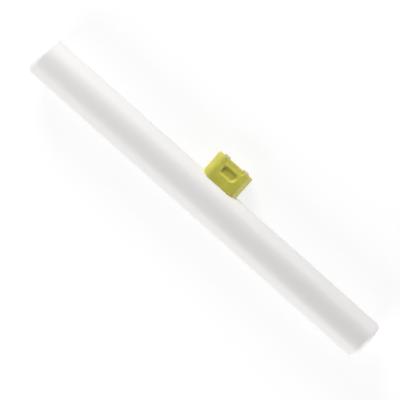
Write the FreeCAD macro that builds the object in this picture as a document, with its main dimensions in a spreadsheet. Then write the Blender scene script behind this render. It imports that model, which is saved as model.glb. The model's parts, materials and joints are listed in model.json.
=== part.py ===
import FreeCAD, Part
import math
import os
import Sketcher

# Tubular strip lamp with one two-contact cap at the middle of its side, lying as it comes to rest.
# Each sub-part is drawn in the lamp's own axes, X along the tube, Z out through the cap and Y
# across the cap, and is then laid down with the same turn, so that the tube and the long top
# edge of the cap both touch the surface.

Vector = FreeCAD.Vector

SIZES = [
    # opal glass envelope
    ("tube_length", "300"),
    ("tube_diameter", "29.5"),
    ("tube_end_radius", "4.3"),
    ("glass_wall", "0.9"),
    # pressed glass stem that the current goes in through
    ("stem_length", "9"),
    ("stem_thickness", "4"),
    ("stem_rise", "5"),
    ("stem_corner", "1.6"),
    ("tip_diameter", "2.4"),
    ("tip_end_diameter", "1"),
    ("tip_length", "2"),
    # moulded cap
    ("cap_offset", "1.7"),
    ("cap_length", "29.8"),
    ("cap_depth", "16"),
    ("cap_rise", "16.95"),
    ("cap_corner", "6.4"),
    ("cap_edge", "0.8"),
    ("cap_wall", "2"),
    ("cap_roof", "2"),
    ("cap_inner_corner", "3.5"),
    ("well_margin", "0.4"),
    # pocket on each side of the cap, where the holder's latch snaps in
    ("latch_length", "13.7"),
    ("latch_height", "7.4"),
    ("latch_depth", "1.8"),
    ("latch_slope", "1.6"),
    ("latch_corner", "2"),
    ("latch_drop", "8"),
    ("latch_edge", "0.15"),
    # lead-in ramp over each pocket, steeper below its knee
    ("ramp_length", "17.4"),
    ("ramp_depth", "1.2"),
    ("ramp_flare", "0.6"),
    ("ramp_lip", "0.3"),
    ("knee_rise", "1.7"),
    ("knee_depth", "0.9"),
    # bent contact strips
    ("contact_inset", "6.5"),
    ("contact_width", "4.6"),
    ("contact_thickness", "0.5"),
    ("contact_span", "10.6"),
    ("contact_rise", "1.1"),
    ("contact_bend", "0.9"),
    ("tab_gap", "1.8"),
    ("tab_gap_offset", "2.5"),
    ("land_inset", "0.3"),
    # cement, leads and solder inside the cap
    ("cement_rise", "3"),
    ("lead_diameter", "0.6"),
    ("lead_spacing", "5"),
    ("lead_bend", "1.5"),
    ("lead_end", "1.6"),
    ("solder_width", "1"),
    ("solder_neck", "0.25"),
    ("solder_height", "0.9"),
    # clearances
    ("fit_clearance", "0.05"),
    ("slot_clearance", "0.25"),
]

# Worked out from the sizes above. The tilt lays the lamp on its tube and on the cap's rounded edge.
LAYOUT = [
    ("tube_radius", "=Sizes.tube_diameter / 2"),
    ("half_depth", "=Sizes.cap_depth / 2"),
    ("cap_top", "=tube_radius + Sizes.cap_rise"),
    ("roof_under", "=cap_top - Sizes.cap_roof"),
    ("contact_top", "=cap_top + Sizes.contact_rise"),
    ("contact_foot", "=roof_under - Sizes.fit_clearance - Sizes.contact_thickness"),
    ("contact_side", "=Sizes.contact_span / 2"),
    ("stem_top", "=tube_radius + Sizes.stem_rise"),
    ("cement_top", "=tube_radius + Sizes.cement_rise"),
    ("well_side", "=half_depth - Sizes.cap_wall"),
    ("duct_side", "=well_side - Sizes.latch_depth"),
    ("ramp_foot", "=cap_top - Sizes.latch_drop + Sizes.latch_height / 2 + Sizes.ramp_lip"),
    ("knee_length", "=Sizes.latch_length + (Sizes.ramp_length - Sizes.latch_length)"
                    " * Sizes.knee_rise / (cap_top - ramp_foot)"),
    ("well_end", "=Sizes.cap_length / 2 - Sizes.cap_wall"),
    ("contact_place", "=Sizes.cap_length / 2 - Sizes.contact_inset"),
    ("well_start", "=contact_place - Sizes.contact_width / 2 - Sizes.well_margin"),
    ("edge_height", "=cap_top - Sizes.cap_edge"),
    ("edge_side", "=half_depth - Sizes.cap_edge"),
    ("rest_tilt", "=asin((tube_radius - Sizes.cap_edge) / sqrt(edge_height ^ 2 + edge_side ^ 2))"
                  " - atan(edge_side / edge_height)"),
    ("reach", "=(contact_top - Sizes.contact_bend) * cos(rest_tilt)"
              " + (contact_side - Sizes.contact_bend) * sin(rest_tilt) + Sizes.contact_bend"),
    ("rest_shift", "=(reach - tube_radius) / 2"),
]


def fill_sheet(doc, name, rows):
    """Write one row a value: its name, the value and its alias."""
    sheet = doc.addObject("Spreadsheet::Sheet", name)
    for row, (alias, content) in enumerate(rows, start=1):
        sheet.set("A%d" % row, alias)
        sheet.set("B%d" % row, content)
        sheet.setAlias("B%d" % row, alias)
    doc.recompute()
    return sheet


def number(item, formula):
    """The present value of a formula in the two sheets, in millimetres or as a plain number."""
    result = item.evalExpression(formula)
    return float(getattr(result, "Value", result))


def new_body(doc, label):
    body = doc.addObject("PartDesign::Body", label)
    body.Label = label
    return body


def new_sketch(body, name, plane, height=None, shift=None):
    """A sketch on one of the body's origin planes, raised along its normal and shifted along X."""
    sketch = body.newObject("Sketcher::SketchObject", name)
    support = next(item for item in body.Origin.OriginFeatures if item.Role == plane)
    sketch.AttachmentSupport = [(support, "")]
    sketch.MapMode = "FlatFace"
    if height:
        sketch.setExpression("AttachmentOffset.Base.z", height)
    if shift:
        sketch.setExpression("AttachmentOffset.Base.x", shift)
    return sketch


def bind(sketch, rule, name, formula):
    """Add a dimension, name it and tie its value to a formula."""
    index = sketch.addConstraint(rule)
    sketch.renameConstraint(index, name)
    sketch.setExpression("Constraints." + name, formula)


def fix_point(sketch, geometry, end, x, y):
    """Tie one end of a line, or a centre, to a place given as two formulas."""
    for axis, kind, formula in (("x", "DistanceX", x), ("y", "DistanceY", y)):
        if formula is None:
            continue
        rule = Sketcher.Constraint(kind, -1, 1, geometry, end, number(sketch, formula))
        bind(sketch, rule, "place_%s_%d_%d" % (axis, geometry, end), formula)


def draw_polygon(sketch, corners):
    """A closed outline of straight lines, each corner a pair of formulas."""
    points = [Vector(number(sketch, x), number(sketch, y), 0) for x, y in corners]
    first = sketch.GeometryCount
    for start, stop in zip(points, points[1:] + points[:1]):
        sketch.addGeometry(Part.LineSegment(start, stop))
    for step, (x, y) in enumerate(corners):
        line = first + step
        following = first + (step + 1) % len(corners)
        sketch.addConstraint(Sketcher.Constraint("Coincident", line, 2, following, 1))
        fix_point(sketch, line, 1, x, y)


def draw_rectangle(sketch, left, right, low, high):
    draw_polygon(sketch, [(left, low), (right, low), (right, high), (left, high)])


def draw_rounded_rectangle(sketch, left, right, low, high, radius):
    """A rectangle with four tangent corner arcs, its sides and radius given as formulas."""
    x0, x1, y0, y1, r = [number(sketch, item) for item in (left, right, low, high, radius)]
    first = sketch.GeometryCount
    corners = [(x1 - r, y0 + r, 3), (x1 - r, y1 - r, 0), (x0 + r, y1 - r, 1), (x0 + r, y0 + r, 2)]
    sides = [
        (Vector(x0 + r, y0, 0), Vector(x1 - r, y0, 0)),
        (Vector(x1, y0 + r, 0), Vector(x1, y1 - r, 0)),
        (Vector(x1 - r, y1, 0), Vector(x0 + r, y1, 0)),
        (Vector(x0, y1 - r, 0), Vector(x0, y0 + r, 0)),
    ]
    quarter = math.pi / 2
    for (start, stop), (cx, cy, turns) in zip(sides, corners):
        sketch.addGeometry(Part.LineSegment(start, stop))
        circle = Part.Circle(Vector(cx, cy, 0), Vector(0, 0, 1), r)
        sketch.addGeometry(Part.ArcOfCircle(circle, turns * quarter, (turns + 1) * quarter))
    for step in range(4):
        line = first + 2 * step
        arc = line + 1
        following = first + (2 * step + 2) % 8
        sketch.addConstraint(Sketcher.Constraint("Tangent", line, 2, arc, 1))
        sketch.addConstraint(Sketcher.Constraint("Tangent", arc, 2, following, 1))
        sketch.addConstraint(Sketcher.Constraint("Horizontal" if step % 2 == 0 else "Vertical", line))
        if step:
            sketch.addConstraint(Sketcher.Constraint("Equal", first + 1, arc))
    bind(sketch, Sketcher.Constraint("Radius", first + 1, r), "radius_%d" % first, radius)
    fix_point(sketch, first, 1, None, low)
    fix_point(sketch, first + 2, 1, right, None)
    fix_point(sketch, first + 4, 1, None, high)
    fix_point(sketch, first + 6, 1, left, None)


def draw_circle(sketch, diameter, x=None):
    """A circle on the sketch's origin, or moved along its first axis."""
    centre = Vector(number(sketch, x) if x else 0, 0, 0)
    circle = sketch.addGeometry(Part.Circle(centre, Vector(0, 0, 1), number(sketch, diameter) / 2))
    if x:
        fix_point(sketch, circle, 3, x, None)
        sketch.addConstraint(Sketcher.Constraint("PointOnObject", circle, 3, -1))
    else:
        sketch.addConstraint(Sketcher.Constraint("Coincident", circle, 3, -1, 1))
    rule = Sketcher.Constraint("Diameter", circle, number(sketch, diameter))
    bind(sketch, rule, "diameter_%d" % circle, diameter)


def pad(body, sketch, name, length, symmetric=False):
    feature = body.newObject("PartDesign::Pad", name)
    feature.Profile = sketch
    feature.setExpression("Length", length)
    if symmetric:
        feature.SideType = "Symmetric"
    return feature


def pocket(body, sketch, name, length, symmetric=False, upwards=False):
    feature = body.newObject("PartDesign::Pocket", name)
    feature.Profile = sketch
    feature.setExpression("Length", length)
    feature.Reversed = upwards
    if symmetric:
        feature.SideType = "Symmetric"
    return feature


def edges_at(body, axis, places, margin=0.001):
    """Names of the edges that lie wholly at one of the places along an axis."""
    body.Document.recompute()
    names = []
    for index, edge in enumerate(body.Tip.Shape.Edges, start=1):
        box = edge.BoundBox
        low = getattr(box, axis + "Min")
        high = getattr(box, axis + "Max")
        if high - low < margin and any(abs(low - place) < margin for place in places):
            names.append("Edge%d" % index)
    return names


def round_edges(body, name, edge_names, radius):
    base = body.Tip
    feature = body.newObject("PartDesign::Fillet", name)
    feature.Base = (base, edge_names)
    feature.setExpression("Radius", radius)
    return feature


def cut_on_both_sides(body, name, sections):
    """Cut a loft through the sections, and the same cut mirrored to the cap's other side."""
    loft = body.newObject("PartDesign::SubtractiveLoft", name)
    loft.Profile = sections[0]
    loft.Sections = sections[1:]
    loft.Ruled = True
    body.Document.recompute()
    mirror = body.newObject("PartDesign::Mirrored", name + "Mirrored")
    plane = next(item for item in body.Origin.OriginFeatures if item.Role == "XZ_Plane")
    mirror.Originals = [loft]
    mirror.MirrorPlane = (plane, [""])
    body.Tip = mirror
    body.Document.recompute()


def lay_down(body, along=None):
    """Turn a sub-part to the pose in which the lamp rests, moved along the tube where a place is given."""
    body.Placement = FreeCAD.Placement(Vector(0, 0, 0), FreeCAD.Rotation(Vector(1, 0, 0), 90))
    body.setExpression("Placement.Rotation.Angle", "90 deg + Layout.rest_tilt")
    if along:
        body.setExpression("Placement.Base.x", along)
    body.setExpression("Placement.Base.y", "Layout.rest_shift")
    body.setExpression("Placement.Base.z", "Layout.tube_radius")


def draw_envelope(sketch):
    """Half the outer section of the tube: flat ends that turn into the side with a round bend."""
    a = number(sketch, "Sizes.tube_length / 2")
    b = number(sketch, "Layout.tube_radius")
    r = number(sketch, "Sizes.tube_end_radius")
    quarter = math.pi / 2
    near = Part.Circle(Vector(r - a, b - r, 0), Vector(0, 0, 1), r)
    far = Part.Circle(Vector(a - r, b - r, 0), Vector(0, 0, 1), r)
    left = sketch.addGeometry(Part.LineSegment(Vector(-a, 0, 0), Vector(-a, b - r, 0)))
    left_bend = sketch.addGeometry(Part.ArcOfCircle(near, quarter, 2 * quarter))
    side = sketch.addGeometry(Part.LineSegment(Vector(r - a, b, 0), Vector(a - r, b, 0)))
    right_bend = sketch.addGeometry(Part.ArcOfCircle(far, 0, quarter))
    right = sketch.addGeometry(Part.LineSegment(Vector(a, b - r, 0), Vector(a, 0, 0)))
    axis = sketch.addGeometry(Part.LineSegment(Vector(a, 0, 0), Vector(-a, 0, 0)))
    sketch.addConstraint([
        Sketcher.Constraint("Tangent", left, 2, left_bend, 2),
        Sketcher.Constraint("Tangent", left_bend, 1, side, 1),
        Sketcher.Constraint("Tangent", side, 2, right_bend, 2),
        Sketcher.Constraint("Tangent", right_bend, 1, right, 1),
        Sketcher.Constraint("Coincident", right, 2, axis, 1),
        Sketcher.Constraint("Coincident", axis, 2, left, 1),
        Sketcher.Constraint("Vertical", left),
        Sketcher.Constraint("Vertical", right),
        Sketcher.Constraint("Horizontal", side),
        Sketcher.Constraint("Equal", left_bend, right_bend),
        Sketcher.Constraint("PointOnObject", left, 1, -1),
        Sketcher.Constraint("PointOnObject", right, 2, -1),
    ])
    bind(sketch, Sketcher.Constraint("Radius", left_bend, r), "bend", "Sizes.tube_end_radius")
    fix_point(sketch, left, 1, "-Sizes.tube_length / 2", None)
    fix_point(sketch, right, 2, "Sizes.tube_length / 2", None)
    fix_point(sketch, side, 1, None, "Layout.tube_radius")


def turn_profile(body, kind, name, profile):
    feature = body.newObject(kind, name)
    feature.Profile = profile
    feature.ReferenceAxis = (profile, ["H_Axis"])
    feature.Angle = 360
    return feature


def draw_stem(sketch):
    draw_rounded_rectangle(sketch, "-Sizes.stem_length / 2", "Sizes.stem_length / 2",
                           "-Sizes.stem_thickness / 2", "Sizes.stem_thickness / 2",
                           "Sizes.stem_corner")


def make_opal_tube(doc):
    """The blown envelope: a thin tube closed flat at both ends, thicker in its bends, with its stem."""
    body = new_body(doc, "opal_tube")
    outside = new_sketch(body, "OutsideProfile", "XZ_Plane")
    draw_envelope(outside)
    turn_profile(body, "PartDesign::Revolution", "Outside", outside)

    stem = new_sketch(body, "StemSection", "XY_Plane", shift="-Sizes.cap_offset",
                      height="Layout.tube_radius - Sizes.glass_wall / 2")
    draw_stem(stem)
    pad(body, stem, "Stem", "Sizes.stem_rise + Sizes.glass_wall / 2")

    tip = body.newObject("PartDesign::AdditiveCone", "ExhaustTip")
    plane = next(item for item in body.Origin.OriginFeatures if item.Role == "XY_Plane")
    tip.AttachmentSupport = [(plane, "")]
    tip.MapMode = "FlatFace"
    tip.setExpression("AttachmentOffset.Base.x", "-Sizes.cap_offset")
    tip.setExpression("AttachmentOffset.Base.z", "Layout.stem_top")
    tip.setExpression("Radius1", "Sizes.tip_diameter / 2")
    tip.setExpression("Radius2", "Sizes.tip_end_diameter / 2")
    tip.setExpression("Height", "Sizes.tip_length")

    end = "(Sizes.tube_length / 2 - Sizes.glass_wall)"
    side = "(Layout.tube_radius - Sizes.glass_wall)"
    slope = "(Sizes.tube_end_radius - Sizes.glass_wall)"
    inside = new_sketch(body, "InsideProfile", "XZ_Plane")
    draw_polygon(inside, [
        ("-" + end, "0"),
        (end, "0"),
        (end, side + " - " + slope),
        (end + " - " + slope, side),
        (slope + " - " + end, side),
        ("-" + end, side + " - " + slope),
    ])
    turn_profile(body, "PartDesign::Groove", "Inside", inside)
    return body


def draw_hollow(sketch):
    """The outline of the cap's hollow, inside its walls."""
    draw_rounded_rectangle(sketch, "-Layout.well_end", "Layout.well_end",
                           "-Layout.well_side", "Layout.well_side", "Sizes.cap_inner_corner")


def draw_latch_backs(sketch):
    """The thicker wall behind each latch pocket, which leaves a narrow duct between them."""
    inside_wall = "Layout.well_side + Sizes.cap_wall / 2"
    draw_rectangle(sketch, "-Layout.well_start", "Layout.well_start", "Layout.duct_side", inside_wall)
    draw_rectangle(sketch, "-Layout.well_start", "Layout.well_start",
                   "-(%s)" % inside_wall, "-Layout.duct_side")


def cut_saddle(body):
    """Cut the foot to the glass, with the clearance that the cap is fitted with."""
    saddle = new_sketch(body, "SaddleSection", "YZ_Plane")
    draw_circle(saddle, "Sizes.tube_diameter + 2 * Sizes.fit_clearance")
    pocket(body, saddle, "Saddle", "2 * Sizes.cap_length", symmetric=True)
    body.Document.recompute()


def make_cap_shell(doc):
    """The moulded cap: a hollow block on a saddle foot, open to the glass."""
    body = new_body(doc, "cap_shell")
    outline = new_sketch(body, "CapOutline", "XY_Plane")
    draw_rounded_rectangle(outline, "-Sizes.cap_length / 2", "Sizes.cap_length / 2",
                           "-Layout.half_depth", "Layout.half_depth", "Sizes.cap_corner")
    pad(body, outline, "CapBlock", "Layout.cap_top")
    doc.recompute()
    top = number(body, "Layout.cap_top")
    round_edges(body, "CapTopEdge", edges_at(body, "Z", (top,)), "Sizes.cap_edge")

    lands = new_sketch(body, "Lands", "XY_Plane", height="Layout.roof_under")
    for side in ("-", ""):
        middle = side + "Layout.contact_place"
        reach = "(Sizes.contact_width / 2 - Sizes.land_inset)"
        draw_rectangle(lands, middle + " - " + reach, middle + " + " + reach,
                       "-(Layout.contact_side - Sizes.contact_bend)",
                       "Layout.contact_side - Sizes.contact_bend")
    pad(body, lands, "ContactLands",
        "Sizes.cap_roof + Sizes.contact_rise - Sizes.contact_thickness - Sizes.fit_clearance")

    hollow = new_sketch(body, "HollowOutline", "XY_Plane")
    draw_hollow(hollow)
    pocket(body, hollow, "Hollow", "Layout.roof_under", upwards=True)
    backs = new_sketch(body, "LatchBackOutline", "XY_Plane")
    draw_latch_backs(backs)
    pad(body, backs, "LatchBacks", "Layout.roof_under + Sizes.cap_roof / 2")
    cut_saddle(body)
    cut_latch_pockets(body)
    cut_ramps(body)
    cut_slots(body)
    return body


def draw_latch_section(sketch, inset):
    """The pocket's outline at its mouth, or drawn in by the slope of its walls at its floor."""
    half = "(Sizes.latch_length / 2 - %s)" % inset
    rise = "(Sizes.latch_height / 2 - %s)" % inset
    middle = "(Layout.cap_top - Sizes.latch_drop)"
    corner = "Sizes.latch_corner * %s / (Sizes.latch_height / 2)" % rise
    draw_polygon(sketch, [
        ("-" + half + " + " + corner, middle + " - " + rise),
        (half + " - " + corner, middle + " - " + rise),
        (half, middle + " - " + rise + " + " + corner),
        (half, middle + " + " + rise + " - " + corner),
        (half + " - " + corner, middle + " + " + rise),
        ("-" + half + " + " + corner, middle + " + " + rise),
        ("-" + half, middle + " + " + rise + " - " + corner),
        ("-" + half, middle + " - " + rise + " + " + corner),
    ])


def cut_latch_pockets(body):
    """A shallow pocket with sloped walls, cut corners and a broken edge, on each long side."""
    mouth = new_sketch(body, "LatchMouth", "XZ_Plane", height="-Layout.half_depth")
    draw_latch_section(mouth, "0")
    floor = new_sketch(body, "LatchFloor", "XZ_Plane", height="Sizes.latch_depth - Layout.half_depth")
    draw_latch_section(floor, "Sizes.latch_slope")
    cut_on_both_sides(body, "LatchPocket", [mouth, floor])
    rim = new_sketch(body, "LatchRim", "XZ_Plane", height="-Layout.half_depth")
    draw_latch_section(rim, "(-Sizes.latch_edge)")
    ledge = new_sketch(body, "LatchLedge", "XZ_Plane", height="Sizes.latch_edge - Layout.half_depth")
    draw_latch_section(ledge, "(Sizes.latch_edge * Sizes.latch_slope / Sizes.latch_depth)")
    cut_on_both_sides(body, "LatchEdge", [rim, ledge])


def draw_ramp_section(sketch, half_length, depth):
    """One level of the ramp: as deep as given at the cap's side, with flared ends."""
    outside = "Layout.half_depth + Sizes.cap_edge"
    flare = half_length + " + Sizes.cap_edge * Sizes.ramp_flare"
    narrow = half_length + " - " + depth + " * Sizes.ramp_flare"
    draw_polygon(sketch, [
        ("-(" + narrow + ")", "Layout.half_depth - " + depth),
        (narrow, "Layout.half_depth - " + depth),
        (flare, outside),
        ("-(" + flare + ")", outside),
    ])


def cut_ramps(body):
    """The lead-in over each pocket, deepest at the top edge and running out above the pocket."""
    top = new_sketch(body, "RampTop", "XY_Plane", height="Layout.cap_top")
    draw_ramp_section(top, "Sizes.ramp_length / 2", "Sizes.ramp_depth")
    knee = new_sketch(body, "RampKnee", "XY_Plane", height="Layout.ramp_foot + Sizes.knee_rise")
    draw_ramp_section(knee, "Layout.knee_length / 2", "Sizes.knee_depth")
    foot = new_sketch(body, "RampFoot", "XY_Plane", height="Layout.ramp_foot")
    draw_ramp_section(foot, "Sizes.latch_length / 2", "0")
    cut_on_both_sides(body, "Ramp", [top, knee, foot])


def cut_slots(body):
    """Four slots through the roof, for the legs of the two contacts."""
    slots = new_sketch(body, "Slots", "XY_Plane", height="Layout.cap_top")
    reach = "(Sizes.contact_width / 2 + Sizes.slot_clearance)"
    inner = "(Layout.contact_side - Sizes.contact_thickness - Sizes.slot_clearance)"
    outer = "(Layout.contact_side + Sizes.slot_clearance)"
    for side in ("-", ""):
        middle = side + "Layout.contact_place"
        draw_rectangle(slots, middle + " - " + reach, middle + " + " + reach, inner, outer)
        draw_rectangle(slots, middle + " - " + reach, middle + " + " + reach, "-" + outer, "-" + inner)
    pocket(body, slots, "LegSlots", "Sizes.cap_roof + Sizes.fit_clearance")


def make_cement(doc):
    """Basing cement: it fills the foot of the cap's hollow round the stem."""
    body = new_body(doc, "basing_cement")
    filling = new_sketch(body, "FillingOutline", "XY_Plane")
    draw_hollow(filling)
    pad(body, filling, "Filling", "Layout.cement_top")
    backs = new_sketch(body, "LatchBackOutline", "XY_Plane")
    draw_latch_backs(backs)
    pocket(body, backs, "LatchBackSeats", "Layout.cement_top", upwards=True)
    cut_saddle(body)
    stem = new_sketch(body, "StemHole", "XY_Plane")
    draw_stem(stem)
    pocket(body, stem, "StemSeat", "Layout.cement_top", upwards=True)
    return body


def make_contact(doc, label, side):
    """A strip bent over its land, down through two slots and in under the roof."""
    body = new_body(doc, label)
    loop = new_sketch(body, "Loop", "YZ_Plane", height=side + "Layout.contact_place")
    draw_rounded_rectangle(loop, "-Layout.contact_side", "Layout.contact_side",
                           "Layout.contact_foot", "Layout.contact_top", "Sizes.contact_bend")
    draw_rounded_rectangle(loop, "Sizes.contact_thickness - Layout.contact_side",
                           "Layout.contact_side - Sizes.contact_thickness",
                           "Layout.contact_foot + Sizes.contact_thickness",
                           "Layout.contact_top - Sizes.contact_thickness",
                           "Sizes.contact_bend - Sizes.contact_thickness")
    pad(body, loop, "Strip", "Sizes.contact_width", symmetric=True)
    gap = new_sketch(body, "TabGap", "XY_Plane", height="Layout.contact_foot",
                     shift=side + "Layout.contact_place")
    draw_rectangle(gap, "-Sizes.contact_width", "Sizes.contact_width",
                   "-(Sizes.tab_gap_offset + Sizes.tab_gap / 2)",
                   "-(Sizes.tab_gap_offset - Sizes.tab_gap / 2)")
    pocket(body, gap, "TabEnds", "2 * Sizes.contact_thickness", symmetric=True)
    return body


def draw_lead_route(sketch):
    """Up from the stem, across with two equal bends, and up to the contact's long tab."""
    start = number(sketch, "Sizes.lead_spacing / 2")
    stop = number(sketch, "Layout.contact_place")
    low = number(sketch, "Layout.stem_top")
    high = number(sketch, "Layout.contact_foot")
    straight = number(sketch, "Sizes.lead_end")
    radius = number(sketch, "Sizes.lead_bend")
    first = Vector(start, low + straight, 0)
    last = Vector(stop, high - straight, 0)
    slope = math.atan2(last.y - first.y, last.x - first.x)
    quarter = math.pi / 2
    near = Part.Circle(first + Vector(radius, 0, 0), Vector(0, 0, 1), radius)
    far = Part.Circle(last - Vector(radius, 0, 0), Vector(0, 0, 1), radius)
    near_arc = Part.ArcOfCircle(near, slope + quarter, 2 * quarter)
    far_arc = Part.ArcOfCircle(far, slope - quarter, 0)
    lower = sketch.addGeometry(Part.LineSegment(Vector(start, low, 0), first))
    bend = sketch.addGeometry(near_arc)
    across = sketch.addGeometry(Part.LineSegment(near_arc.StartPoint, far_arc.StartPoint))
    back = sketch.addGeometry(far_arc)
    upper = sketch.addGeometry(Part.LineSegment(last, Vector(stop, high, 0)))
    sketch.addConstraint([
        Sketcher.Constraint("Tangent", lower, 2, bend, 2),
        Sketcher.Constraint("Tangent", bend, 1, across, 1),
        Sketcher.Constraint("Tangent", across, 2, back, 1),
        Sketcher.Constraint("Tangent", back, 2, upper, 1),
        Sketcher.Constraint("Vertical", lower),
        Sketcher.Constraint("Vertical", upper),
        Sketcher.Constraint("Equal", bend, back),
        Sketcher.Constraint("Equal", lower, upper),
    ])
    bind(sketch, Sketcher.Constraint("Radius", bend, radius), "bend", "Sizes.lead_bend")
    bind(sketch, Sketcher.Constraint("Distance", lower, straight), "straight", "Sizes.lead_end")
    fix_point(sketch, lower, 1, "Sizes.lead_spacing / 2", "Layout.stem_top")
    fix_point(sketch, upper, 2, "Layout.contact_place", "Layout.contact_foot")


def make_lead(doc, label, side):
    """A bare lead from the stem up to the long tab of its contact."""
    body = new_body(doc, label)
    section = new_sketch(body, "LeadSection", "XY_Plane", height="Layout.stem_top")
    draw_circle(section, "Sizes.lead_diameter", x=side + "Sizes.lead_spacing / 2")
    route = new_sketch(body, "LeadRoute", "XZ_Plane")
    draw_lead_route(route)
    if side:
        turned = FreeCAD.Rotation(Vector(0, 1, 0), 180)
        route.AttachmentOffset = FreeCAD.Placement(Vector(0, 0, 0), turned)
    wire = body.newObject("PartDesign::AdditivePipe", "Lead")
    wire.Profile = section
    wire.Spine = route
    return body


def make_solder(doc, label, side):
    """The solder under a contact's tab: a small cone round the lead."""
    body = new_body(doc, label)
    profile = new_sketch(body, "SolderProfile", "XZ_Plane", shift=side + "Layout.contact_place")
    bore = "Sizes.lead_diameter / 2"
    rim = bore + " + Sizes.solder_width"
    tab = "Layout.contact_foot"
    foot = tab + " - Sizes.solder_height"
    neck = bore + " + Sizes.solder_neck"
    draw_polygon(profile, [(bore, foot), (bore, tab), (rim, tab), (neck, foot)])
    blob = body.newObject("PartDesign::Revolution", "Solder")
    blob.Profile = profile
    blob.ReferenceAxis = (profile, ["V_Axis"])
    blob.Angle = 360
    return body


def check(doc, bodies):
    """Stop if anything in the document failed or a sub-part has no valid single solid."""
    for item in doc.Objects:
        if "Invalid" in item.State or "Error" in item.State:
            raise RuntimeError("failed: " + item.Name)
    for body in bodies:
        if body.Shape.isNull() or not body.Shape.isValid() or len(body.Shape.Solids) != 1:
            raise RuntimeError("no valid solid: " + body.Label)


def main():
    doc = FreeCAD.newDocument("strip_lamp")
    fill_sheet(doc, "Sizes", SIZES)
    fill_sheet(doc, "Layout", LAYOUT)
    tube = make_opal_tube(doc)
    lay_down(tube)
    cap_parts = [make_cap_shell(doc), make_cement(doc)]
    for label, side in (("left", "-"), ("right", "")):
        cap_parts.append(make_contact(doc, "contact_strip_" + label, side))
        cap_parts.append(make_lead(doc, "lead_wire_" + label, side))
        cap_parts.append(make_solder(doc, "solder_joint_" + label, side))
    for body in cap_parts:
        lay_down(body, "-Sizes.cap_offset")
    doc.recompute()
    bodies = [tube] + cap_parts
    check(doc, bodies)
    os.makedirs("parts", exist_ok=True)
    for body in bodies:
        body.Shape.exportStep("parts/%s.step" % body.Label)
        print(body.Label, "%.1f mm3" % body.Shape.Volume)


main()
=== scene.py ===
import json
import math

import bmesh
import bpy
from mathutils import Matrix, Vector


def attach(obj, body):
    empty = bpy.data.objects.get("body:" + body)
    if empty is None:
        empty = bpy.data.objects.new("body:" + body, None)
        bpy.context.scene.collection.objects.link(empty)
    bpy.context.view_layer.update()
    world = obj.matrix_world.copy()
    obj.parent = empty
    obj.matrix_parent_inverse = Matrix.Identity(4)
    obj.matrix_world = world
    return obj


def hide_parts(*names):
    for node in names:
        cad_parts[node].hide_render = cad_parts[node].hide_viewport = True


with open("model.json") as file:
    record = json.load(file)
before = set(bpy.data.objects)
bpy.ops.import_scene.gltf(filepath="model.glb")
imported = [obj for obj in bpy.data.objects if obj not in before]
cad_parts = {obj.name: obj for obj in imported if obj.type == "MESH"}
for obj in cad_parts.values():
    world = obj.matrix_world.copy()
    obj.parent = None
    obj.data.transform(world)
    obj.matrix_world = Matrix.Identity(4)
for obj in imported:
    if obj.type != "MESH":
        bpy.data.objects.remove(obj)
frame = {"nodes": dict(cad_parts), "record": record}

bl_info = {
    "name": "Tubular Strip Lamp",
    "version": (1, 0, 0),
    "blender": (4, 5, 0),
    "location": "View3D > Sidebar > Strip Lamp",
    "description": "Models a tubular strip lamp with its glass, cap and contacts, and lights it",
    "category": "Object",
}

MM = 0.001
DEGREE = math.pi / 180
NEAR = 0.001 * MM
X, Y, Z = range(3)
ALONG = Vector((1, 0, 0))
ACROSS = Vector((0, 1, 0))
OUT = Vector((0, 0, 1))

bpy.context.view_layer.update()

# How finely round forms are cut: the sides of a full round, and the steps of a rounded corner or edge.
TUBE_SIDES = 160
HOLLOW_SIDES = 80
TIP_SIDES = 32
TUBE_END_STEPS = 10
STEM_STEPS = 6
CAP_CORNER_STEPS = 12
CAP_EDGE_STEPS = 4
WELL_STEPS = 8
LATCH_STEPS = 6
CONTACT_BEND_STEPS = 6
MOULD_STEPS = 3
STRIP_STEPS = 2

# How far two faces turn at an edge: where shading breaks, and where the cap, its foot and a strip are soft.
SHADE_TURN = 40 * DEGREE
MOULD_TURN = 30 * DEGREE
FOOT_TURN = 40 * DEGREE
STRIP_TURN = 50 * DEGREE

# Sizes of the finishes' patterns in millimetres. A stretch says how many times longer than wide a line is.
GLASS_LINE = 3
GLASS_LINE_STRETCH = 50
GLASS_CLOUD = 18
RESIN_FLOW = 6
RESIN_POLISH = 0.35
ROLLED_LINE = 0.25
ROLLED_LINE_STRETCH = 20
CEMENT_GRAIN = 0.5
COPPER_PATCH = 0.4
SOLDER_GRAIN = 0.3

# Most of a noise texture lies between these values.
NOISE_LOW = 0.35
NOISE_HIGH = 0.65

# The sockets of a Mix node that blends two colours, which share their names with its other sockets.
MIX_SHARE, MIX_FIRST, MIX_SECOND, MIX_RESULT = 0, 6, 7, 2

# The photograph's view: its middle, the middle of the tube in it, its scale, and how the camera looks.
PHOTO_MIDDLE = 200
TUBE_MIDDLE_X = 204
TUBE_MIDDLE_Y = 198
PIXEL = 300 * MM / 436.4
VIEW_HEIGHT = 74.5 * DEGREE
VIEW_ROLL = 138.3 * DEGREE
LENS = 300
FAR_CLIP = 10

# The studio: a floor that a glow lifts to white where it is seen, walls that are white where they are seen
# and otherwise give a faint light, and soft boxes by direction, height, length, width and watts.
FLOOR_RADIUS = 3
FLOOR_SIDES = 64
FLOOR_LIFT = 0.82
WALL_LIGHT = 0.035
BOX_DISTANCE = 2
SOFT_BOXES = {
    "key_box": (-45 * DEGREE, 20 * DEGREE, 0.8, 0.8, 34.0),
    "cap_side_box": (-90 * DEGREE, 12 * DEGREE, 2, 0.8, 9.0),
    "far_side_box": (90 * DEGREE, 23 * DEGREE, 2, 1.4, 39.0),
    "left_end_box": (0, 6 * DEGREE, 1, 0.4, 9.0),
    "right_end_box": (180 * DEGREE, 6 * DEGREE, 1, 0.4, 27.0),
}


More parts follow.
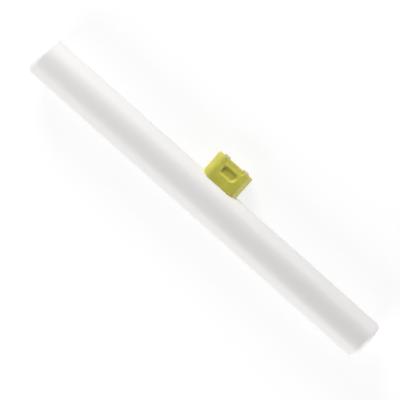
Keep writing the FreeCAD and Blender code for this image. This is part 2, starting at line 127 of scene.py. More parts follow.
def length(name, description, millimetres):
    return bpy.props.FloatProperty(
        name=name, description=description, default=millimetres * MM, min=0, unit="LENGTH", precision=5)


def linear(hex_code):
    """A colour as the screen shows it, turned to the linear values that shaders take."""
    shown = [int(hex_code[place:place + 2], 16) / 255 for place in (1, 3, 5)]
    return [value / 12.92 if value <= 0.04045 else ((value + 0.055) / 1.055) ** 2.4 for value in shown]


def colour(name, description, hex_code):
    return bpy.props.FloatVectorProperty(
        name=name, description=description, default=linear(hex_code), size=3, min=0, max=1, subtype="COLOR")


class StripLampSizes(bpy.types.PropertyGroup):
    """Sizes of the lamp, as its parts have them."""
    tube_length: length("Tube length", "Length of the glass tube over its flat ends", 300)
    tube_diameter: length("Tube diameter", "Outside diameter of the glass tube", 29.5)
    end_radius: length("End radius", "Bend between the tube's side and its flat ends", 4.3)
    glass_wall: length("Glass wall", "Thickness of the opal glass", 0.9)
    stem_length: length("Stem length", "Length of the pressed stem along the tube", 9)
    stem_thickness: length("Stem thickness", "Thickness of the pressed stem", 4)
    stem_rise: length("Stem rise", "How far the stem stands out of the glass", 5)
    stem_corner: length("Stem corner", "Corner radius of the pressed stem", 1.6)
    tip_diameter: length("Tip diameter", "Diameter of the sealed tip on the stem", 2.4)
    tip_end_diameter: length("Tip end diameter", "Diameter of the sealed tip at its end", 1)
    tip_length: length("Tip length", "Length of the sealed tip", 2)
    cap_length: length("Cap length", "Length of the cap along the tube", 29.8)
    cap_depth: length("Cap depth", "Depth of the cap across the tube", 16)
    cap_rise: length("Cap rise", "How far the cap stands out of the glass", 16.95)
    cap_corner: length("Cap corner", "Corner radius of the cap seen from its top", 6.4)
    cap_edge: length("Cap edge", "Rounding of the cap's top edge", 0.8)
    cap_wall: length("Cap wall", "Thickness of the cap's walls and roof", 2)
    well_corner: length("Well corner", "Corner radius of the cap's hollow", 3.5)
    well_margin: length("Well margin", "From the thick walls behind the pockets to the contacts", 0.4)
    latch_length: length("Latch length", "Length of the latch pocket's mouth", 13.7)
    latch_height: length("Latch height", "Height of the latch pocket's mouth", 7.4)
    latch_depth: length("Latch depth", "Depth of the latch pocket", 1.8)
    latch_slope: length("Latch slope", "How far the pocket's walls slope in", 1.6)
    latch_corner: length("Latch corner", "Corner radius of the pocket's mouth", 3.2)
    latch_drop: length("Latch drop", "From the cap's top to the middle of the pocket", 8)
    ramp_length: length("Ramp length", "Length of the lead-in ramp at the cap's top", 17.4)
    ramp_depth: length("Ramp depth", "Depth of the lead-in ramp at the cap's top", 1.2)
    ramp_lip: length("Ramp lip", "Height of the lip between ramp and pocket", 0.3)
    knee_rise: length("Knee rise", "Height of the ramp's steeper foot", 1.7)
    knee_depth: length("Knee depth", "Depth of the ramp at the top of its steeper foot", 0.9)
    contact_inset: length("Contact inset", "From the cap's end to the middle of a contact", 6.5)
    contact_width: length("Contact width", "Width of a contact strip", 4.6)
    contact_thickness: length("Contact thickness", "Thickness of a contact strip", 0.5)
    contact_span: length("Contact span", "Length of a contact over its two legs", 10.6)
    contact_rise: length("Contact rise", "How far a contact stands out of the cap's top", 1.1)
    contact_bend: length("Contact bend", "Outer bend radius of a contact strip", 0.9)
    tab_gap: length("Tab gap", "Gap between the two clinched ends of a strip", 1.8)
    tab_gap_offset: length("Tab gap offset", "Distance of that gap from the cap's middle line", 2.5)
    land_inset: length("Land inset", "How much narrower the land under a contact is at each side", 0.3)
    fit_clearance: length("Fit clearance", "Gap between pieces that are fitted together", 0.05)
    slot_clearance: length("Slot clearance", "Gap round a contact's legs in their slots", 0.25)
    foot_round: length("Foot rounding", "Rounding of the cap's edge on the glass", 0.7)
    mould_round: length("Mould rounding", "Soft edge that moulding leaves on the cap", 0.2)
    strip_round: length("Strip rounding", "Worn edge of the stamped strips", 0.06)


class StripLampColours(bpy.types.PropertyGroup):
    """Colours of the lamp's finishes, as the screen shows them."""
    opal: colour("Opal glass", "White of the opal glass", "#F5F3F2")
    opal_shade: colour("Opal glass shade", "Faintly warmer white in the glass", "#F2F0EE")
    resin: colour("Cap resin", "Yellow-green of the moulded cap", "#D1CB55")
    resin_shade: colour("Cap resin shade", "Darker flow marks in the moulded cap", "#C6C04B")
    plating: colour("Contact plating", "Dull nickel on the contacts", "#BDB39A")
    plating_shade: colour("Contact plating shade", "Rolled streaks in the plating", "#9C927C")
    cement: colour("Basing cement", "Set cement inside the cap", "#C9C2AE")
    cement_grain: colour("Cement grain", "Filler grains in the cement", "#9E9682")
    copper: colour("Lead copper", "Copper skin of the lead wires", "#C98B6A")
    copper_dull: colour("Dulled copper", "Duller patches on the lead wires", "#A8704F")
    tin: colour("Solder tin", "Soft solder", "#BDBEC0")
    tin_dull: colour("Dulled solder", "Duller patches on the solder", "#9FA0A3")
    floor: colour("Floor", "Grey of the studio floor, which a glow lifts to white", "#8C8C8C")


class Layout:
    """Places that follow from the sizes, in the lamp's own axes: X along the tube, Z out of the cap."""

    def __init__(self, sizes):
        mount = next(mount for mount in frame["record"]["mounts"] if mount["name"] == "holder_slide")
        out, top_middle = Vector(mount["axis"]), Vector(mount["pos_m"])
        self.cap_middle = top_middle.x * ALONG
        self.tube_radius = sizes.tube_diameter / 2
        self.cap_top = self.tube_radius + sizes.cap_rise
        self.cap_half = Vector((sizes.cap_length / 2, sizes.cap_depth / 2, 0))
        self.well_half = self.cap_half - sizes.cap_wall * (ALONG + ACROSS)
        self.roof_under = self.cap_top - sizes.cap_wall
        self.contact_top = self.cap_top + sizes.contact_rise
        self.contact_foot = self.roof_under - sizes.fit_clearance - sizes.contact_thickness
        self.contact_place = sizes.cap_length / 2 - sizes.contact_inset
        self.latch_middle = (self.cap_top - sizes.latch_drop) * OUT
        self.ramp_foot = self.latch_middle.z + sizes.latch_height / 2 + sizes.ramp_lip
        turn = Matrix((ALONG, out.cross(ALONG), out)).transposed().to_4x4()
        self.rest = Matrix.Translation(top_middle - self.cap_middle - self.cap_top * out) @ turn


def start_edit(piece, select_mode):
    """Edit one mesh by itself, with nothing in it selected."""
    bpy.ops.object.select_all(action="DESELECT")
    bpy.context.view_layer.objects.active = piece
    piece.select_set(True)
    bpy.ops.object.mode_set(mode="EDIT")
    bpy.ops.mesh.select_mode(type=select_mode)
    bpy.ops.mesh.select_all(action="DESELECT")


def pick(piece, kind, wanted):
    """Select only the points, edges or faces of the mesh being edited that pass a test."""
    bpy.ops.mesh.select_all(action="DESELECT")
    mesh = bmesh.from_edit_mesh(piece.data)
    for item in getattr(mesh, kind):
        if wanted(item):
            item.select_set(True)
    bmesh.update_edit_mesh(piece.data)


def end_edit():
    bpy.ops.object.mode_set(mode="OBJECT")


def near(value, place):
    return abs(value - place) < NEAR


def lies_at(axis, *places):
    """A test for edges and faces that lie wholly at one of the places along an axis."""
    return lambda item: any(all(near(point.co[axis], place) for point in item.verts) for place in places)


def runs_along(axis):
    """A test for edges that run along one axis."""
    others = [other for other in range(3) if other != axis]
    return lambda edge: all(near(edge.verts[0].co[other], edge.verts[1].co[other]) for other in others)


def add_block(name, first, second):
    """A cube stretched between two opposite corners."""
    bpy.ops.object.select_all(action="DESELECT")
    bpy.ops.mesh.primitive_cube_add(size=1, location=(first + second) / 2)
    piece = bpy.context.active_object
    piece.name = name
    piece.scale = [abs(reach) for reach in second - first]
    bpy.ops.object.transform_apply(location=True, rotation=True, scale=True)
    return piece


def add_round_bar(name, radius, half_length, sides):
    """A cylinder along the tube."""
    bpy.ops.object.select_all(action="DESELECT")
    bpy.ops.mesh.primitive_cylinder_add(
        vertices=sides, radius=radius, depth=2 * half_length, rotation=(0, 90 * DEGREE, 0))
    piece = bpy.context.active_object
    piece.name = name
    bpy.ops.object.transform_apply(location=True, rotation=True, scale=True)
    return piece


def round_off(piece, wanted, width, segments):
    """Round the edges that pass a test, or slope them with a single segment."""
    start_edit(piece, "EDGE")
    pick(piece, "edges", wanted)
    bpy.ops.mesh.bevel(offset=width, segments=segments, profile=0.5, affect="EDGES")
    end_edit()


def apply_modifier(piece, kind, **settings):
    """Add one modifier with its settings and apply it."""
    modifier = piece.modifiers.new(kind.title(), kind)
    for name, value in settings.items():
        setattr(modifier, name, value)
    bpy.ops.object.select_all(action="DESELECT")
    bpy.context.view_layer.objects.active = piece
    piece.select_set(True)
    bpy.ops.object.modifier_apply(modifier=modifier.name)


def combine(piece, tool, operation):
    """Join a second mesh to a piece, or cut it away, and delete it."""
    apply_modifier(piece, "BOOLEAN", object=tool, operation=operation, solver="EXACT")
    bpy.data.objects.remove(tool, do_unlink=True)


def turns_by(least_turn):
    """A test for edges whose two faces turn by more than an angle."""
    return lambda edge: edge.calc_face_angle() > least_turn


def soften(piece, wanted, width, segments, slide):
    """Give the edges that pass a test the rounding that the real ones have."""
    start_edit(piece, "EDGE")
    pick(piece, "edges", wanted)
    bpy.ops.transform.edge_bevelweight(value=1)
    end_edit()
    apply_modifier(piece, "BEVEL", width=width, segments=segments, limit_method="WEIGHT",
                   use_clamp_overlap=False, loop_slide=slide)
    piece.data.attributes.remove(piece.data.attributes["bevel_weight_edge"])


def smooth_over(piece):
    """Shade a piece smooth, with its flat faces kept flat."""
    bpy.ops.object.shade_smooth_by_angle(angle=SHADE_TURN)
    apply_modifier(piece, "WEIGHTED_NORMAL", keep_sharp=True)


def lay_down(piece, place, node, material):
    """Bring a finished piece to the lamp's rest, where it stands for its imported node."""
    piece.data.transform(place)
    piece.data.update()
    piece.data.materials.clear()
    piece.data.materials.append(material)
    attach(piece, "root")
    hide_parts(node)


def add_node(tree, kind, inputs=None, links=None, **settings):
    """Add a shader node with its settings, its input values and what feeds it."""
    node = tree.nodes.new(kind)
    for name, value in settings.items():
        setattr(node, name, value)
    for name, value in (inputs or {}).items():
        node.inputs[name].default_value = value
    for name, source in (links or {}).items():
        tree.links.new(source, node.inputs[name])
    return node


def start_material(name):
    """A new material with an empty set of nodes."""
    material = bpy.data.materials.new(name)
    material.use_nodes = True
    material.node_tree.nodes.clear()
    return material, material.node_tree


def rgba(values):
    return (*values, 1)


def per_metre(millimetres):
    """A texture's scale from the real size of its features."""
    return 1 / (millimetres * MM)


def opal_glass(colours):
    """Opal soda-lime glass, drawn as a tube: dense milky white under a smooth, softly glossy skin.

    The milky wall sends light back evenly from side to side, and drawing leaves faint lines along it.
    """
    material, tree = start_material("opal_glass_drawn")
    place = add_node(tree, "ShaderNodeTexCoord")
    drawn = add_node(tree, "ShaderNodeMapping", {"Scale": (1 / GLASS_LINE_STRETCH, 1, 1)},
                     {"Vector": place.outputs["Object"]})
    lines = add_node(tree, "ShaderNodeTexNoise", {"Scale": per_metre(GLASS_LINE), "Detail": 3},
                     {"Vector": drawn.outputs["Vector"]})
    clouds = add_node(tree, "ShaderNodeTexNoise", {"Scale": per_metre(GLASS_CLOUD), "Detail": 2},
                      {"Vector": place.outputs["Object"]})
    tone = add_node(tree, "ShaderNodeMix",
                    {MIX_FIRST: rgba(colours.opal), MIX_SECOND: rgba(colours.opal_shade)},
                    {MIX_SHARE: clouds.outputs["Fac"]}, data_type="RGBA")
    gloss = add_node(tree, "ShaderNodeMapRange", {"To Min": 0.42, "To Max": 0.52},
                     {"Value": lines.outputs["Fac"]})
    waves = add_node(tree, "ShaderNodeBump", {"Distance": 0.003 * MM}, {"Height": lines.outputs["Fac"]})
    glass = add_node(tree, "ShaderNodeBsdfPrincipled", {"IOR": 1.52},
                     {"Base Color": tone.outputs[MIX_RESULT], "Roughness": gloss.outputs["Result"],
                      "Normal": waves.outputs["Normal"]})
    add_node(tree, "ShaderNodeOutputMaterial", links={"Surface": glass.outputs["BSDF"]})
    return material


def moulded_resin(colours):
    """Thermosetting resin, pressed in a hot mould: softly glossy, a little translucent, with flow marks.

    The skin keeps the mould's fine polish marks. They are drawn a little coarser than real ones to show.
    """
    material, tree = start_material("moulded_resin_gloss")
    place = add_node(tree, "ShaderNodeTexCoord")
    flow = add_node(tree, "ShaderNodeTexNoise", {"Scale": per_metre(RESIN_FLOW), "Detail": 4},
                    {"Vector": place.outputs["Object"]})
    skin = add_node(tree, "ShaderNodeTexNoise", {"Scale": per_metre(RESIN_POLISH), "Detail": 2},
                    {"Vector": place.outputs["Object"]})
    blend = add_node(tree, "ShaderNodeMapRange", {"From Min": NOISE_LOW, "From Max": NOISE_HIGH},
                     {"Value": flow.outputs["Fac"]})
    tone = add_node(tree, "ShaderNodeMix",
                    {MIX_FIRST: rgba(colours.resin), MIX_SECOND: rgba(colours.resin_shade)},
                    {MIX_SHARE: blend.outputs["Result"]}, data_type="RGBA")
    gloss = add_node(tree, "ShaderNodeMapRange", {"To Min": 0.42, "To Max": 0.54},
                     {"Value": flow.outputs["Fac"]})
    polish = add_node(tree, "ShaderNodeBump", {"Distance": 0.006 * MM}, {"Height": skin.outputs["Fac"]})
    resin = add_node(tree, "ShaderNodeBsdfPrincipled",
                     {"IOR": 1.5, "Subsurface Weight": 0.3, "Subsurface Radius": (1, 0.9, 0.25),
                      "Subsurface Scale": 1.5 * MM},
                     {"Base Color": tone.outputs[MIX_RESULT], "Roughness": gloss.outputs["Result"],
                      "Normal": polish.outputs["Normal"]})
    add_node(tree, "ShaderNodeOutputMaterial", links={"Surface": resin.outputs["BSDF"]})
    return material


def nickel_strip(colours):
    """Nickel-plated brass strip, rolled and stamped: dull warm-grey metal with fine lines along the strip.

    Rolling lines are a few hundredths of a millimetre apart, and are drawn coarser so that they show.
    """
    material, tree = start_material("nickel_plate_rolled")
    place = add_node(tree, "ShaderNodeTexCoord")
    rolled = add_node(tree, "ShaderNodeMapping",
                      {"Scale": (1, 1 / ROLLED_LINE_STRETCH, 1 / ROLLED_LINE_STRETCH)},
                      {"Vector": place.outputs["Object"]})
    lines = add_node(tree, "ShaderNodeTexNoise", {"Scale": per_metre(ROLLED_LINE), "Detail": 3},
                     {"Vector": rolled.outputs["Vector"]})
    blend = add_node(tree, "ShaderNodeMapRange", {"From Min": NOISE_LOW, "From Max": NOISE_HIGH},
                     {"Value": lines.outputs["Fac"]})
    tone = add_node(tree, "ShaderNodeMix",
                    {MIX_FIRST: rgba(colours.plating), MIX_SECOND: rgba(colours.plating_shade)},
                    {MIX_SHARE: blend.outputs["Result"]}, data_type="RGBA")
    gloss = add_node(tree, "ShaderNodeMapRange", {"To Min": 0.34, "To Max": 0.5},
                     {"Value": lines.outputs["Fac"]})
    grooves = add_node(tree, "ShaderNodeBump", {"Distance": 0.004 * MM}, {"Height": lines.outputs["Fac"]})
    metal = add_node(tree, "ShaderNodeBsdfPrincipled", {"Metallic": 1},
                     {"Base Color": tone.outputs[MIX_RESULT], "Roughness": gloss.outputs["Result"],
                      "Normal": grooves.outputs["Normal"]})
    add_node(tree, "ShaderNodeOutputMaterial", links={"Surface": metal.outputs["BSDF"]})
    return material


def set_cement(colours):
    """Basing cement, a mineral paste baked hard: matt, with grains of filler."""
    material, tree = start_material("basing_cement_baked")
    place = add_node(tree, "ShaderNodeTexCoord")
    grains = add_node(tree, "ShaderNodeTexNoise", {"Scale": per_metre(CEMENT_GRAIN), "Detail": 6},
                      {"Vector": place.outputs["Object"]})
    blend = add_node(tree, "ShaderNodeMapRange", {"From Min": NOISE_LOW, "From Max": NOISE_HIGH},
                     {"Value": grains.outputs["Fac"]})
    tone = add_node(tree, "ShaderNodeMix",
                    {MIX_FIRST: rgba(colours.cement), MIX_SECOND: rgba(colours.cement_grain)},
                    {MIX_SHARE: blend.outputs["Result"]}, data_type="RGBA")
    dull = add_node(tree, "ShaderNodeMapRange", {"To Min": 0.8, "To Max": 0.95},
                    {"Value": grains.outputs["Fac"]})
    grit = add_node(tree, "ShaderNodeBump", {"Distance": 0.08 * MM}, {"Height": grains.outputs["Fac"]})
    cement = add_node(tree, "ShaderNodeBsdfPrincipled", {"Specular IOR Level": 0.25},
                      {"Base Color": tone.outputs[MIX_RESULT], "Roughness": dull.outputs["Result"],
                       "Normal": grit.outputs["Normal"]})
    add_node(tree, "ShaderNodeOutputMaterial", links={"Surface": cement.outputs["BSDF"]})
    return material


def drawn_copper(colours):
    """Copper-clad wire, drawn: warm metal whose skin has dulled in patches."""
    material, tree = start_material("copper_clad_drawn")
    place = add_node(tree, "ShaderNodeTexCoord")
    patches = add_node(tree, "ShaderNodeTexNoise", {"Scale": per_metre(COPPER_PATCH), "Detail": 3},
                       {"Vector": place.outputs["Object"]})
    tone = add_node(tree, "ShaderNodeMix",
                    {MIX_FIRST: rgba(colours.copper), MIX_SECOND: rgba(colours.copper_dull)},
                    {MIX_SHARE: patches.outputs["Fac"]}, data_type="RGBA")
    gloss = add_node(tree, "ShaderNodeMapRange", {"To Min": 0.28, "To Max": 0.42},
                     {"Value": patches.outputs["Fac"]})
    metal = add_node(tree, "ShaderNodeBsdfPrincipled", {"Metallic": 1},
                     {"Base Color": tone.outputs[MIX_RESULT], "Roughness": gloss.outputs["Result"]})
    add_node(tree, "ShaderNodeOutputMaterial", links={"Surface": metal.outputs["BSDF"]})
    return material


def soft_solder(colours):
    """Soft solder, cooled in air: grey metal with a slightly grainy skin."""
    material, tree = start_material("soft_solder_set")
    place = add_node(tree, "ShaderNodeTexCoord")
    skin = add_node(tree, "ShaderNodeTexNoise", {"Scale": per_metre(SOLDER_GRAIN), "Detail": 3},
                    {"Vector": place.outputs["Object"]})
    tone = add_node(tree, "ShaderNodeMix",
                    {MIX_FIRST: rgba(colours.tin), MIX_SECOND: rgba(colours.tin_dull)},
                    {MIX_SHARE: skin.outputs["Fac"]}, data_type="RGBA")
    gloss = add_node(tree, "ShaderNodeMapRange", {"To Min": 0.3, "To Max": 0.5},
                     {"Value": skin.outputs["Fac"]})
    grain = add_node(tree, "ShaderNodeBump", {"Distance": 0.01 * MM}, {"Height": skin.outputs["Fac"]})
    metal = add_node(tree, "ShaderNodeBsdfPrincipled", {"Metallic": 1},
                     {"Base Color": tone.outputs[MIX_RESULT], "Roughness": gloss.outputs["Result"],
                      "Normal": grain.outputs["Normal"]})
    add_node(tree, "ShaderNodeOutputMaterial", links={"Surface": metal.outputs["BSDF"]})
    return material


class LAMP_OT_glass(bpy.types.Operator):
    """Model the blown glass envelope with its flat rounded ends, its wall and its pressed stem"""
    bl_idname = "strip_lamp.glass"
    bl_label = "Glass Envelope"

    def execute(self, context):
        sizes = context.scene.strip_lamp_sizes
        layout = Layout(sizes)
        half = sizes.tube_length / 2
        inner_half = half - sizes.glass_wall
        glass = add_round_bar("glass_envelope", layout.tube_radius, half, TUBE_SIDES)
        round_off(glass, lies_at(X, -half, half), sizes.end_radius, TUBE_END_STEPS)
        combine(glass, self.add_stem(sizes, layout), "UNION")
        inside = add_round_bar("inside", layout.tube_radius - sizes.glass_wall, inner_half, HOLLOW_SIDES)
        round_off(inside, lies_at(X, -inner_half, inner_half), sizes.end_radius - sizes.glass_wall, 1)
        combine(glass, inside, "DIFFERENCE")
        bpy.ops.object.shade_smooth_by_angle(angle=SHADE_TURN)
        lay_down(glass, layout.rest, "opal_tube", opal_glass(context.scene.strip_lamp_colours))
        return {"FINISHED"}

    def add_stem(self, sizes, layout):
        """The stem: a flattened block that ends in a sealed tip."""
        reach = Vector((sizes.stem_length / 2, sizes.stem_thickness / 2, 0))
        foot = layout.cap_middle + (layout.tube_radius - sizes.glass_wall / 2) * OUT
        top = layout.cap_middle + (layout.tube_radius + sizes.stem_rise) * OUT
        stem = add_block("stem", foot - reach, top + reach)
        round_off(stem, runs_along(Z), sizes.stem_corner, STEM_STEPS)
        root = sizes.tip_end_diameter / 2
        bpy.ops.mesh.primitive_cone_add(
            vertices=TIP_SIDES, radius1=sizes.tip_diameter / 2, radius2=sizes.tip_end_diameter / 2,
            depth=sizes.tip_length + root, location=top + (sizes.tip_length - root) / 2 * OUT)
        bpy.ops.object.transform_apply(location=True, rotation=True, scale=True)
        combine(stem, bpy.context.active_object, "UNION")
        return stem


class LAMP_OT_cap(bpy.types.Operator):
    """Model the moulded cap with its saddle foot, hollow, latch pockets, ramps, lands and slots"""
    bl_idname = "strip_lamp.cap"
    bl_label = "Moulded Cap"

    def execute(self, context):
        sizes = context.scene.strip_lamp_sizes
        layout = Layout(sizes)
        cap = add_block("moulded_cap", -layout.cap_half, layout.cap_half + layout.cap_top * OUT)
        round_off(cap, runs_along(Z), sizes.cap_corner, CAP_CORNER_STEPS)
        round_off(cap, lies_at(Z, layout.cap_top), sizes.cap_edge, CAP_EDGE_STEPS)
        saddle = layout.tube_radius + sizes.fit_clearance
        combine(cap, add_round_bar("saddle", saddle, sizes.cap_length, TUBE_SIDES), "DIFFERENCE")
        combine(cap, self.add_well(sizes, layout), "DIFFERENCE")
        for side in (-1, 1):
            combine(cap, self.add_latch(sizes, layout, side), "DIFFERENCE")
            combine(cap, self.add_ramp(sizes, layout, side), "DIFFERENCE")
        for end in (-1, 1):
            combine(cap, self.add_land(sizes, layout, end), "UNION")
            for side in (-1, 1):
                combine(cap, self.add_slot(sizes, layout, end, side), "DIFFERENCE")
        apply_modifier(cap, "TRIANGULATE")
        is_foot, is_sharp = self.is_foot_edge(layout, saddle), turns_by(MOULD_TURN)
        soften(cap, lambda edge: is_sharp(edge) and not is_foot(edge), sizes.mould_round, MOULD_STEPS, False)
        soften(cap, is_foot, sizes.foot_round, MOULD_STEPS, True)
        smooth_over(cap)
        place = layout.rest @ Matrix.Translation(layout.cap_middle)
        lay_down(cap, place, "cap_shell", moulded_resin(context.scene.strip_lamp_colours))
        return {"FINISHED"}

    def is_foot_edge(self, layout, saddle):
        """A test for the edges between the saddle and the cap's outer sides."""
        def is_edge(edge):
            on_saddle = all(abs(math.hypot(point.co.y, point.co.z) - saddle) < 10 * NEAR
                            for point in edge.verts)
            reach = max(abs(face.normal.xy.dot(face.calc_center_median().xy)) for face in edge.link_faces)
            return on_saddle and edge.calc_face_angle() > FOOT_TURN and reach > layout.well_half.y
        return is_edge

    def add_well(self, sizes, layout):
        """The hollow, narrower between the thick walls behind the latch pockets."""
        reach = layout.well_half
        well = add_block("well", -reach - sizes.cap_wall * OUT, reach + layout.roof_under * OUT)
        round_off(well, runs_along(Z), sizes.well_corner, WELL_STEPS)
        back = layout.contact_place - sizes.contact_width / 2 - sizes.well_margin
        for side in (-1, 1):
            inner = Vector((-back, side * (reach.y - sizes.latch_depth), -2 * sizes.cap_wall))
            outer = Vector((back, side * layout.cap_half.y, layout.cap_top))
            combine(well, add_block("latch_back", inner, outer), "DIFFERENCE")
        return well

    def add_latch(self, sizes, layout, side):
        """The cutter of a latch pocket: a rounded mouth in the cap's side, and walls that slope in."""
        reach = Vector((sizes.latch_length / 2, 0, sizes.latch_height / 2))
        mouth = side * layout.cap_half.y * ACROSS
        latch = add_block("latch", layout.latch_middle - reach + mouth,
                          layout.latch_middle + reach + mouth + side * sizes.cap_edge * ACROSS)
        round_off(latch, runs_along(Y), sizes.latch_corner, LATCH_STEPS)
        start_edit(latch, "FACE")
        pick(latch, "faces", lies_at(Y, mouth.y))
        bpy.ops.mesh.inset(thickness=sizes.latch_slope, depth=sizes.latch_depth)
        end_edit()
        return latch

    def add_ramp(self, sizes, layout, side):
        """The cutter of a lead-in ramp: it starts above the pocket, steep up to its knee, then flatter."""
        knee = layout.ramp_foot + sizes.knee_rise
        outer = side * (layout.cap_half.y + sizes.cap_edge)
        inner = side * (layout.cap_half.y - sizes.ramp_depth)
        half = sizes.ramp_length / 2
        ramp = add_block("ramp", Vector((-half, inner, layout.ramp_foot)), Vector((half, outer, knee)))
        start_edit(ramp, "FACE")
        for rise in (layout.cap_top, layout.cap_top + sizes.cap_edge):
            pick(ramp, "faces", lies_at(Z, knee))
            bpy.ops.mesh.extrude_region_move(TRANSFORM_OT_translate={"value": (rise - knee) * OUT})
            knee = rise
        bpy.ops.mesh.select_mode(type="VERT")
        knee_share = sizes.knee_rise / (layout.cap_top - layout.ramp_foot)
        knee_length = sizes.latch_length + (sizes.ramp_length - sizes.latch_length) * knee_share
        for height, depth, width in ((layout.ramp_foot, 0, sizes.latch_length),
                                     (layout.ramp_foot + sizes.knee_rise, sizes.knee_depth, knee_length)):
            pick(ramp, "verts", lambda point: near(point.co.z, height))
            bpy.ops.transform.resize(value=(width / sizes.ramp_length, 1, 1),
                                     center_override=height * OUT)
            pick(ramp, "verts", lambda point: near(point.co.z, height) and near(point.co.y, inner))
            bpy.ops.transform.translate(value=side * (sizes.ramp_depth - depth) * ACROSS)
        end_edit()
        return ramp

    def add_land(self, sizes, layout, end):
        """The raised land under one contact."""
        middle = end * layout.contact_place * ALONG
        reach = Vector((sizes.contact_width / 2 - sizes.land_inset,
                        sizes.contact_span / 2 - sizes.contact_bend, 0))
        top = layout.contact_top - sizes.contact_thickness - sizes.fit_clearance
        return add_block("land", middle - reach + (layout.cap_top - sizes.cap_wall / 2) * OUT,
                         middle + reach + top * OUT)

    def add_slot(self, sizes, layout, end, side):
        """The slot that one leg of a contact passes through the roof in."""
        middle = end * layout.contact_place * ALONG
        half_width = (sizes.contact_width / 2 + sizes.slot_clearance) * ALONG
        leg = sizes.contact_span / 2
        inner = side * (leg - sizes.contact_thickness - sizes.slot_clearance) * ACROSS
        outer = side * (leg + sizes.slot_clearance) * ACROSS
        return add_block("slot", middle - half_width + inner + (layout.roof_under - sizes.cap_edge) * OUT,
                         middle + half_width + outer + (layout.cap_top + sizes.cap_edge) * OUT)


class LAMP_OT_contacts(bpy.types.Operator):
    """Model the two contact strips, bent over their lands and clinched under the roof"""
    bl_idname = "strip_lamp.contacts"
    bl_label = "Contact Strips"

    def execute(self, context):
        sizes = context.scene.strip_lamp_sizes
        layout = Layout(sizes)
        metal = nickel_strip(context.scene.strip_lamp_colours)
        for name, end in (("left", -1), ("right", 1)):
            strip = self.add_strip("contact_" + name, sizes, layout)
            place = layout.rest @ Matrix.Translation(layout.cap_middle + end * layout.contact_place * ALONG)
            lay_down(strip, place, "contact_strip_" + name, metal)
        return {"FINISHED"}

    def add_strip(self, name, sizes, layout):
        """A strip folded to a flat loop: its top, two legs, and two tabs with a gap between them."""
        reach = Vector((sizes.contact_width / 2, sizes.contact_span / 2, 0))
        strip = add_block(name, -reach + layout.contact_foot * OUT, reach + layout.contact_top * OUT)
        round_off(strip, runs_along(X), sizes.contact_bend, CONTACT_BEND_STEPS)
        start_edit(strip, "FACE")
        pick(strip, "faces", lies_at(X, -reach.x, reach.x))
        bpy.ops.mesh.delete(type="FACE")
        end_edit()
        apply_modifier(strip, "SOLIDIFY", thickness=sizes.contact_thickness, offset=-1)
        middle = layout.contact_foot * OUT - sizes.tab_gap_offset * ACROSS
        gap = Vector((sizes.contact_width, sizes.tab_gap / 2, 2 * sizes.contact_thickness))
        combine(strip, add_block("gap", middle - gap, middle + gap), "DIFFERENCE")
        apply_modifier(strip, "TRIANGULATE")
        soften(strip, turns_by(STRIP_TURN), sizes.strip_round, STRIP_STEPS, True)
        smooth_over(strip)
        return strip


class LAMP_OT_inner_pieces(bpy.types.Operator):
    """Finish the cement, leads and solder that the cap hides"""
    bl_idname = "strip_lamp.inner_pieces"
    bl_label = "Cement, Leads and Solder"

    def execute(self, context):
        colours = context.scene.strip_lamp_colours
        finishes = {
            "basing_cement": set_cement(colours),
            "lead_wire": drawn_copper(colours),
            "solder_joint": soft_solder(colours),
        }
        for name, node in frame["nodes"].items():
            for start, material in finishes.items():
                if name.startswith(start):
                    node.data.materials.clear()
                    node.data.materials.append(material)
        return {"FINISHED"}


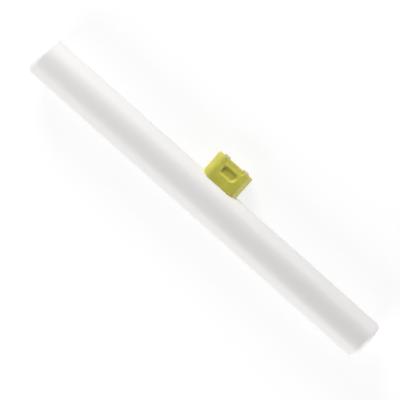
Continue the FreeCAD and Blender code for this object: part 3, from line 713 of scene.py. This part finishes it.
class LAMP_OT_stage(bpy.types.Operator):
    """Set the floor, the soft light and the camera"""
    bl_idname = "strip_lamp.stage"
    bl_label = "Floor, Light and Camera"

    def execute(self, context):
        scene = context.scene
        self.add_floor(scene.strip_lamp_colours.floor)
        self.light_world(scene)
        for name, place_and_size in SOFT_BOXES.items():
            self.add_soft_box(scene, name, *place_and_size)
        self.aim_camera(scene, Layout(scene.strip_lamp_sizes).rest @ Vector((0, 0, 0)))
        scene.view_settings.view_transform = "Standard"
        return {"FINISHED"}

    def seen_directly(self, tree):
        """One where the camera, a reflection or clear glass looks, and nothing for the light itself."""
        path = add_node(tree, "ShaderNodeLightPath")
        first = add_node(tree, "ShaderNodeMath", operation="MAXIMUM",
                         links={0: path.outputs["Is Camera Ray"], 1: path.outputs["Is Glossy Ray"]})
        both = add_node(tree, "ShaderNodeMath", operation="MAXIMUM",
                        links={0: first.outputs["Value"], 1: path.outputs["Is Transmission Ray"]})
        return both.outputs["Value"]

    def add_floor(self, floor_colour):
        """A grey floor that is seen as white, apart from the lamp's soft shadow."""
        bpy.ops.object.select_all(action="DESELECT")
        bpy.ops.mesh.primitive_circle_add(vertices=FLOOR_SIDES, radius=FLOOR_RADIUS, fill_type="NGON")
        floor = bpy.context.active_object
        floor.name = "floor"
        material, tree = start_material("studio_floor")
        plain = add_node(tree, "ShaderNodeBsdfDiffuse", {"Color": rgba(floor_colour)})
        lift = add_node(tree, "ShaderNodeMath", {1: FLOOR_LIFT}, {0: self.seen_directly(tree)},
                        operation="MULTIPLY")
        glow = add_node(tree, "ShaderNodeEmission", links={"Strength": lift.outputs["Value"]})
        both = add_node(tree, "ShaderNodeAddShader",
                        links={0: plain.outputs["BSDF"], 1: glow.outputs["Emission"]})
        add_node(tree, "ShaderNodeOutputMaterial", links={"Surface": both.outputs["Shader"]})
        floor.data.materials.append(material)

    def light_world(self, scene):
        """Studio walls: white where they are seen, and a faint even light from all round."""
        scene.world = bpy.data.worlds.new("studio_walls")
        scene.world.use_nodes = True
        tree = scene.world.node_tree
        tree.nodes.clear()
        strength = add_node(tree, "ShaderNodeMapRange", {"To Min": WALL_LIGHT, "To Max": 1},
                            {"Value": self.seen_directly(tree)})
        walls = add_node(tree, "ShaderNodeBackground", {"Color": (1, 1, 1, 1)},
                         {"Strength": strength.outputs["Result"]})
        add_node(tree, "ShaderNodeOutputWorld", links={"Surface": walls.outputs["Background"]})

    def add_soft_box(self, scene, name, direction, height, box_length, box_width, watts):
        """A broad even light, turned to the lamp."""
        data = bpy.data.lights.new(name, "AREA")
        data.shape = "RECTANGLE"
        data.size, data.size_y, data.energy = box_length, box_width, watts
        box = bpy.data.objects.new(name, data)
        back = Matrix.Rotation(direction, 3, "Z") @ Vector((math.cos(height), 0, math.sin(height)))
        turn = back.to_track_quat("Z", "Y").to_matrix().to_4x4()
        box.matrix_world = Matrix.Translation(BOX_DISTANCE * back) @ turn
        scene.collection.objects.link(box)

    def aim_camera(self, scene, tube_middle):
        """Look down on the lamp from far off, turned as in the photograph."""
        back = Vector((0, -math.cos(VIEW_HEIGHT), math.sin(VIEW_HEIGHT)))
        level_up = back.cross(ALONG)
        right = math.cos(VIEW_ROLL) * ALONG - math.sin(VIEW_ROLL) * level_up
        up = math.sin(VIEW_ROLL) * ALONG + math.cos(VIEW_ROLL) * level_up
        aim = (tube_middle + (PHOTO_MIDDLE - TUBE_MIDDLE_X) * PIXEL * right
               + (TUBE_MIDDLE_Y - PHOTO_MIDDLE) * PIXEL * up)
        data = bpy.data.cameras.new("camera")
        data.lens = LENS
        data.clip_end = FAR_CLIP
        distance = 2 * PHOTO_MIDDLE * PIXEL * data.lens / data.sensor_width
        camera = bpy.data.objects.new("camera", data)
        turn = Matrix((right, up, back)).transposed().to_4x4()
        camera.matrix_world = Matrix.Translation(aim + distance * back) @ turn
        scene.collection.objects.link(camera)
        scene.camera = camera


class LAMP_PT_panel(bpy.types.Panel):
    """Lists the lamp's modelling steps, sizes and colours"""
    bl_label = "Strip Lamp"
    bl_idname = "LAMP_PT_panel"
    bl_space_type = "VIEW_3D"
    bl_region_type = "UI"
    bl_category = "Strip Lamp"

    def draw(self, context):
        for operator in OPERATORS:
            self.layout.operator(operator.bl_idname)
        for group in (context.scene.strip_lamp_sizes, context.scene.strip_lamp_colours):
            column = self.layout.column(align=True)
            for name in group.__annotations__:
                column.prop(group, name)


OPERATORS = (LAMP_OT_glass, LAMP_OT_cap, LAMP_OT_contacts, LAMP_OT_inner_pieces, LAMP_OT_stage)
CLASSES = (StripLampSizes, StripLampColours, *OPERATORS, LAMP_PT_panel)


def register():
    for item in CLASSES:
        bpy.utils.register_class(item)
    bpy.types.Scene.strip_lamp_sizes = bpy.props.PointerProperty(type=StripLampSizes)
    bpy.types.Scene.strip_lamp_colours = bpy.props.PointerProperty(type=StripLampColours)


def unregister():
    del bpy.types.Scene.strip_lamp_colours
    del bpy.types.Scene.strip_lamp_sizes
    for item in reversed(CLASSES):
        bpy.utils.unregister_class(item)


def main():
    register()
    bpy.ops.strip_lamp.glass()
    bpy.ops.strip_lamp.cap()
    bpy.ops.strip_lamp.contacts()
    bpy.ops.strip_lamp.inner_pieces()
    bpy.ops.strip_lamp.stage()


if __name__ == "__main__":
    main()
